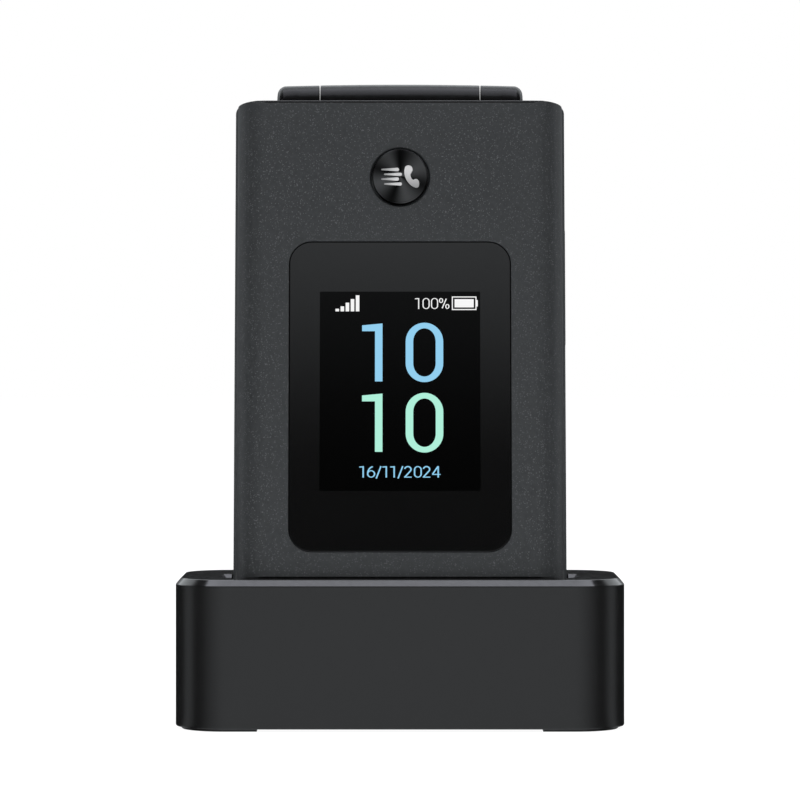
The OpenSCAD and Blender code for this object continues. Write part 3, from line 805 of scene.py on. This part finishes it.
# The disc from its pin outwards over its flange, up its side and in over its face
QUICK_DISC = [(1.2, -3.25), (1.2, -2.7), (QUICK_RADIUS + 0.7, -2.7), (QUICK_RADIUS + 0.7, -2.1),
              (QUICK_RADIUS, -2.1), (QUICK_RADIUS, -0.2), (QUICK_RADIUS - 0.03, -0.1),
              (QUICK_RADIUS - 0.09, -0.03), (QUICK_RADIUS - 0.18, 0.0),
              (QUICK_RADIUS - 0.35, -0.004), (1.0, -0.09), (0.2, -0.1), (0.02, -0.1)]
HANDSET = smooth([(-1.17, 1.6), (-1.3, 0.95), (-1.22, 0.2), (-0.95, -0.55), (-0.5, -1.22),
                  (0.1, -1.75), (0.75, -2.03), (1.17, -1.9), (1.33, -1.4), (1.27, -0.88),
                  (0.97, -0.5), (0.6, -0.46), (0.3, -0.6), (0.02, -0.4), (-0.18, 0.05),
                  (-0.2, 0.45), (0.02, 0.78), (0.16, 1.25), (0.0, 1.72), (-0.38, 1.95),
                  (-0.86, 1.92)])
# Left and right end, height, and half of a dash's width at its left and right end
DASHES = [(-3.32, -0.16, 1.22, 0.13, 0.31), (-2.81, 0.35, 0.36, 0.13, 0.29),
          (-3.32, -0.16, -0.49, 0.13, 0.31), (-2.81, 0.35, -1.36, 0.13, 0.29)]


def dash(x0, x1, y, thin, thick):
    """A mark that swells towards its round right end."""
    return (bow(x1 - thick, y, thick, thick, -90, 90, 12)
            + bow(x0 + thin, y, thin, thin, 90, 270, 6))


key_top = local_box("quick_key")[0].y
key_z = middle("quick_key").z
stand_in(revolve("quick_key_disc", QUICK_DISC, front(0.0, key_top, key_z)), "quick_key")
face = front(0.0, key_top - MARK_PROUD, key_z)
settle(flat("quick_key_dashes", [[dash(*line)] for line in DASHES], face, 0.14, edge=0.04),
       "quick_key", "spun_black_metal", DASH_SILVER_PAINTED_SHEEN)
settle(flat("quick_key_handset", [[moved(HANDSET, 2.05, -0.02)]], face, 0.14, edge=0.04),
       "quick_key", "spun_black_metal", HANDSET_SILVER_PAINTED_SHEEN)

# ---- Keypad ------------------------------------------------------------------------------------

# Inset and height of the outlines that make a key: its flange, its sides and its domed top
PILLOW = [(-0.5, -1.7), (-0.5, -1.1), (0.0, -1.1), (0.0, 0.4), (0.04, 0.52), (0.14, 0.62),
          (0.34, 0.69), (0.75, 0.74), (1.4, 0.78), (2.2, 0.8)]
# What is typed with a number, and the marks of the two keys that have no number
TYPED = {"0": "+", "2": "ABC", "3": "DEF", "4": "GHI", "5": "JKL", "6": "MNO", "7": "PQRS",
         "8": "TUV", "9": "WXYZ"}
SYMBOLS = {"star": ("*", 2.4, 0.0, 0.0), "hash": ("#", 3.0, 0.0, 0.0)}
LEGEND_DEPTH = 0.1
# How much further out the side keys' marks are than the soft keys' own middle
MARK_SHIFT = 1.2
NAV_RING = [(5.7, -1.0), (11.0, -1.0), (11.0, 0.45), (10.94, 0.6), (10.8, 0.74), (10.6, 0.83),
            (10.35, 0.85), (9.4, 0.8), (6.6, 0.62), (6.2, 0.56), (5.85, 0.46), (5.72, 0.3),
            (5.7, 0.1)]
NAV_MARK_RADIUS = 8.3
NAV_MARK_TOP = 0.79
OK_CAP = [(0.02, -1.3), (5.5, -1.3), (5.5, 0.3), (5.44, 0.42), (5.3, 0.53), (5.05, 0.62),
          (4.4, 0.68), (2.5, 0.73), (0.02, 0.75)]
ARROW = [(-0.8, -0.35), (0.8, -0.35), (0.0, 0.55)]


def pillow_key(node, radius):
    """A key's cap, and the place of its legend."""
    low, high = local_box(node)
    flange = -PILLOW[0][0]
    width, height = high.x - low.x - 2 * flange, high.z - low.z - 2 * flange
    place = front((low.x + high.x) / 2, 0.0, (low.z + high.z) / 2)
    loops = []
    for inset, level in PILLOW:
        outline = rounded(width - 2 * inset, height - 2 * inset, max(radius - inset, 0.3))
        loops.append([(x, y, level) for x, y in outline])
    stand_in(loft(node + "_cap", loops, place), node)
    return raised(place, PILLOW[-1][1] + MARK_PROUD)


def legend(sign):
    """A number key's marks, each with its height and its middle."""
    if sign in SYMBOLS:
        return [SYMBOLS[sign]]
    letters = [(TYPED[sign], 1.5, 2.0, -0.1)] if sign in TYPED else []
    return [(sign, 3.3, -3.6, 0.0)] + letters


def key_mark(node, outline, x, finish):
    """A mark on one of the keys beside the navigation ring."""
    place = front(x, local_box(node)[0].y - MARK_PROUD, middle(node).z)
    settle(flat(node + "_mark", [[outline]], place, 0.06), BODY_OF[node], SLOT_OF[node], finish)


for node in sorted(NODES):
    if node.startswith("key_"):
        top = pillow_key(node, radius=2.0)
        marks = lettering(node + "_legend", legend(node.removeprefix("key_")), top, LEGEND_DEPTH)
        settle(marks, BODY_OF[node], SLOT_OF[node], LEGEND_WHITE)

top = pillow_key("clear_key", radius=1.8)
clear_mark = lettering("clear_key_legend", [("C", 2.4, 0.0, 0.0)], top, LEGEND_DEPTH)
settle(clear_mark, "clear_key", "key_plastic", LEGEND_WHITE)
side_x = middle("soft_key_right").x + MARK_SHIFT
for node, side in (("soft_key_left", -1), ("soft_key_right", 1)):
    key_mark(node, rounded(3.2, 0.5, 0.24), side * side_x, LEGEND_WHITE)
key_mark("call_key", moved(HANDSET, -0.2, 0.0, scale=0.72), -side_x, LEGEND_GREEN)
key_mark("end_key", moved(HANDSET, 0.2, -0.2, turn=-45, scale=0.72), side_x, LEGEND_RED)

nav = front(0.0, 0.0, middle("nav_ring").z)
stand_in(revolve("nav_ring_turned", NAV_RING, nav), "nav_ring")
stand_in(revolve("ok_key_cap", OK_CAP, nav), "ok_key")
ok_face = raised(nav, OK_CAP[-1][1] + MARK_PROUD)
settle(lettering("ok_key_legend", [("OK", 2.0, 0.0, 0.0)], ok_face, 0.08),
       "ok_key", "key_plastic", LEGEND_WHITE)
arrows = [[moved(moved(ARROW, 0.0, NAV_MARK_RADIUS), 0.0, 0.0, turn)]
          for turn in (0, 90, 180, 270)]
settle(flat("nav_ring_marks", arrows, raised(nav, NAV_MARK_TOP), 0.14),
       "nav_ring", "nav_ring_metal", LEGEND_WHITE)

# ---- Rear, and inside of the lid ---------------------------------------------------------------

CAMERA_RING = [(0.02, -5.1), (4.0, -5.1), (4.0, -0.4), (3.96, -0.25), (3.85, -0.1), (3.65, 0.0),
               (3.0, 0.0), (2.85, -0.05), (2.6, -0.45), (2.55, -0.6), (0.02, -0.6)]
CAMERA_GLASS = [(2.58, -0.6), (2.58, -0.32), (2.4, -0.27), (1.2, -0.22), (0.02, -0.2)]
CAMERA_IRIS = [(1.25, -0.3), (1.25, -0.2), (1.1, -0.19), (1.05, -0.2), (1.05, -0.3)]
FLASH_RADIUS = 1.5
FLASH_GROOVES = [(FLASH_RADIUS - 0.15 * i, 0.0 if i % 2 else -0.06) for i in range(10)]
FLASH_LENS = [(0.02, -1.4), (FLASH_RADIUS, -1.4)] + FLASH_GROOVES + [(0.02, 0.0)]
INNER_SCREEN_SIZE = (42.7, 57.0)


def on_rear(node):
    """The middle of a node's rear face."""
    return rear(middle(node).x, local_box(node)[1].y, middle(node).z)


camera_place = on_rear("camera_module")
stand_in(revolve("camera_ring", CAMERA_RING, camera_place), "camera_module")
settle(revolve("camera_glass", CAMERA_GLASS, camera_place), "phone", "camera_black", COATED_GLASS)
settle(revolve("camera_iris", CAMERA_IRIS, camera_place, segments=64),
       "phone", "camera_black", IRIS_METAL)
stand_in(revolve("flash_grooved", FLASH_LENS, on_rear("flash_lens"), segments=64), "flash_lens")

inner = rear(0.0, local_box("inner_window")[1].y, middle("inner_window").z)
inner_screen = [[rounded(*INNER_SCREEN_SIZE, 0.3)]]
settle(flat("inner_screen", inner_screen, raised(inner, SCREEN_PROUD), FILM),
       "lid", "inner_display")

# ---- Studio ------------------------------------------------------------------------------------

FOCAL_PX = 4297.5
FRAME_PX = 800
HORIZON_RISE_PX = 84.0
CAMERA_DISTANCE = 738 * MM
CAMERA_HEIGHT = 71.5 * MM
CORNER_RADIUS = 8.7 * MM
COOL = (0.955, 1.0, 1.04, 1.0)

# The floor's white, and how much of it is free of shadow
FLOOR_WHITE = 1.15
UNSHADED = 0.8
FLOOR_HALF = 3.0

# The room that gloss shows. A turn goes from the front, 0, to the back, 1. A height is a
# direction's Z. A pair is where a panel's edge begins and where it is over.
ROOM = [(0.0, 0.75), (0.10, 0.60), (0.17, 0.44), (0.23, 0.29), (0.30, 0.11), (0.365, 0.05),
        (0.41, 0.13), (0.46, 0.33), (0.51, 0.43), (0.57, 0.31), (0.62, 0.11), (0.66, 0.04),
        (0.72, 0.02), (0.80, 0.02), (1.0, 0.02)]
ROOM_TOP = (0.0, 0.03)
AHEAD = [(0.0, 0.76), (0.04, 0.72), (0.12, 0.36), (0.2, 0.13), (0.35, 0.07), (0.5, 0.0)]
AHEAD_HEIGHTS = ((0.256, 0.322), (0.44, 0.6))
SIDE_TURNS = ((0.38, 0.50), (0.72, 0.80))
SIDE_HEIGHTS = ((0.02, 0.1), (0.4, 0.6))
SIDE_LEVEL = 0.42
EDGE_TURNS = ((0.72, 0.80), (0.92, 0.97))
EDGE_HEIGHTS = ((0.0, 0.02), (0.25, 0.4))
EDGE_LEVEL = 0.3
BACK_TURN = (0.66, 0.72)
BACK_HEIGHTS = ((0.24, 0.34), (0.78, 0.84))
BACK_LEVEL = 1.55
GAP_LEVEL = 0.019
# Brightness at which a mix towards the room's tint is full
ROOM_FULL = 2.0


def camera():
    data = bpy.data.cameras.new("camera")
    data.sensor_width = 36.0
    data.lens = data.sensor_width * FOCAL_PX / FRAME_PX
    data.clip_start = 0.01
    data.shift_y = -HORIZON_RISE_PX / FRAME_PX
    made = bpy.data.objects.new("camera", data)
    made.location = (0.0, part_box("cradle_shell")[0].y - CAMERA_DISTANCE, CAMERA_HEIGHT)
    made.rotation_euler = (math.radians(90), 0.0, 0.0)
    bpy.context.scene.collection.objects.link(made)
    bpy.context.scene.camera = made


def length(x, y):
    return (x * x + y * y).apply("SQRT")


def turned(x, y):
    """How far a direction is turned from the front: 0 at the front, 1 at the back."""
    return (y * -1.0 / length(x, y)).apply("ARCCOSINE") / math.pi


def mirrored_turn(x, y):
    """The turn at which a round corner mirrors a point of the floor, given from its middle.
    The mirrored ray leaves the corner's skin, which shifts the turn near the corner."""
    turn = turned(x, y)
    shift = (turn * (math.pi / 2)).apply("SINE") * (CORNER_RADIUS / math.pi)
    return turn + shift / length(x, y)


def floor():
    """White to the camera; to gloss it shows the room, which stands round the cradle's corners."""
    made = bpy.data.materials.new("floor_white")
    graph = Graph(made)
    x, y, _ = graph.axes()
    low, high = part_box("cradle_shell")
    side = (x.apply("ABSOLUTE") - (high.x - CORNER_RADIUS)).apply("MAXIMUM", 0.0)
    turn = mirrored_turn(side, y - (low.y + CORNER_RADIUS))
    plain = graph.add("ShaderNodeBsdfDiffuse", {}, {"Color": grey(0.8)})
    white = graph.add("ShaderNodeEmission", {}, {"Color": grey(1.0), "Strength": FLOOR_WHITE})
    tinted = graph.mix(graph.ramp(turn, ROOM), grey(0.0), COOL)
    room = graph.add("ShaderNodeEmission", {}, {"Color": tinted})
    to_camera = graph.ray_is("Is Camera Ray") * UNSHADED
    seen = graph.add("ShaderNodeMixShader", {}, {0: to_camera, 1: plain, 2: white})
    to_gloss = graph.ray_is("Is Glossy Ray")
    shown = graph.add("ShaderNodeMixShader", {}, {0: to_gloss, 1: seen, 2: room})
    graph.add("ShaderNodeOutputMaterial", {}, {"Surface": shown})
    mesh = bpy.data.meshes.new("floor")
    corners = [(x, y, 0) for x, y in box_at(-FLOOR_HALF, FLOOR_HALF, -FLOOR_HALF, FLOOR_HALF)]
    mesh.from_pydata(corners, [], [(0, 1, 2, 3)])
    mesh.materials.append(made)
    add_object("floor", mesh)


def world():
    """White to the camera; soft light; and, to gloss, a room with a few large pale panels."""
    made = bpy.data.worlds.new("studio")
    bpy.context.scene.world = made
    graph = Graph(made, "Generated")
    x, y, z = graph.axes()
    turn = turned(x, y)

    def band(value, rise, fall):
        return graph.step(value, *rise) * (1.0 - graph.step(value, *fall))

    low = graph.ramp(turn, ROOM) * (1.0 - graph.step(z, *ROOM_TOP))
    ahead = band(z, *AHEAD_HEIGHTS) * graph.ramp(turn, AHEAD)
    side = band(turn, *SIDE_TURNS) * band(z, *SIDE_HEIGHTS)
    edge = band(turn, *EDGE_TURNS) * band(z, *EDGE_HEIGHTS)
    back = graph.step(turn, *BACK_TURN) * band(z, *BACK_HEIGHTS)
    room = low + ahead + side * SIDE_LEVEL + edge * EDGE_LEVEL + back * BACK_LEVEL + GAP_LEVEL
    tinted = graph.mix(room * (1 / ROOM_FULL), grey(0.0), COOL)
    panels = graph.add("ShaderNodeBackground", {}, {"Color": tinted, "Strength": ROOM_FULL})
    white = graph.add("ShaderNodeBackground", {}, {"Color": grey(1.0), "Strength": 1.0})
    soft = graph.add("ShaderNodeBackground", {}, {"Color": grey(0.5), "Strength": 1.0})
    to_gloss = graph.ray_is("Is Glossy Ray")
    lit_by = graph.add("ShaderNodeMixShader", {}, {0: to_gloss, 1: soft, 2: panels})
    backdrop = graph.ray_is("Is Camera Ray") + graph.ray_is("Is Transmission Ray")
    shown = graph.add("ShaderNodeMixShader", {}, {0: backdrop, 1: lit_by, 2: white})
    graph.add("ShaderNodeOutputWorld", {}, {"Surface": shown})


def lamp(name, place, target, size, brightness, mirrored=False, colour=(1.0, 1.0, 1.0)):
    """A softbox of a given brightness, where 1 is white. Gloss shows it only if it is mirrored."""
    data = bpy.data.lights.new(name, "AREA")
    data.shape = "RECTANGLE"
    data.size, data.size_y = size
    data.color = colour
    data.energy = brightness * math.pi * size[0] * size[1]
    made = bpy.data.objects.new(name, data)
    made.visible_glossy = mirrored
    made.visible_camera = False
    made.location = place
    made.rotation_euler = (Vector(target) - Vector(place)).to_track_quat("-Z", "Y").to_euler()
    bpy.context.scene.collection.objects.link(made)


camera()
floor()
world()
lamp("top_softbox", place=(0.0, 0.24, 1.0), target=(0.0, 0.24, 0.0), size=(0.9, 0.72),
     brightness=3.75, mirrored=True, colour=(0.98, 1.0, 1.1))
lamp("left_softbox", place=(-0.52, -0.44, 0.66), target=(0.0, 0.0, 0.06), size=(0.4, 0.5),
     brightness=4.0)
lamp("low_softbox", place=(0.0, -0.11, 0.012), target=(0.0, 0.0, 0.05), size=(0.3, 0.03),
     brightness=2.5)
lamp("right_softbox", place=(0.52, -0.44, 0.66), target=(0.0, 0.0, 0.06), size=(0.4, 0.5),
     brightness=4.0)

bpy.context.scene.view_settings.view_transform = "Standard"
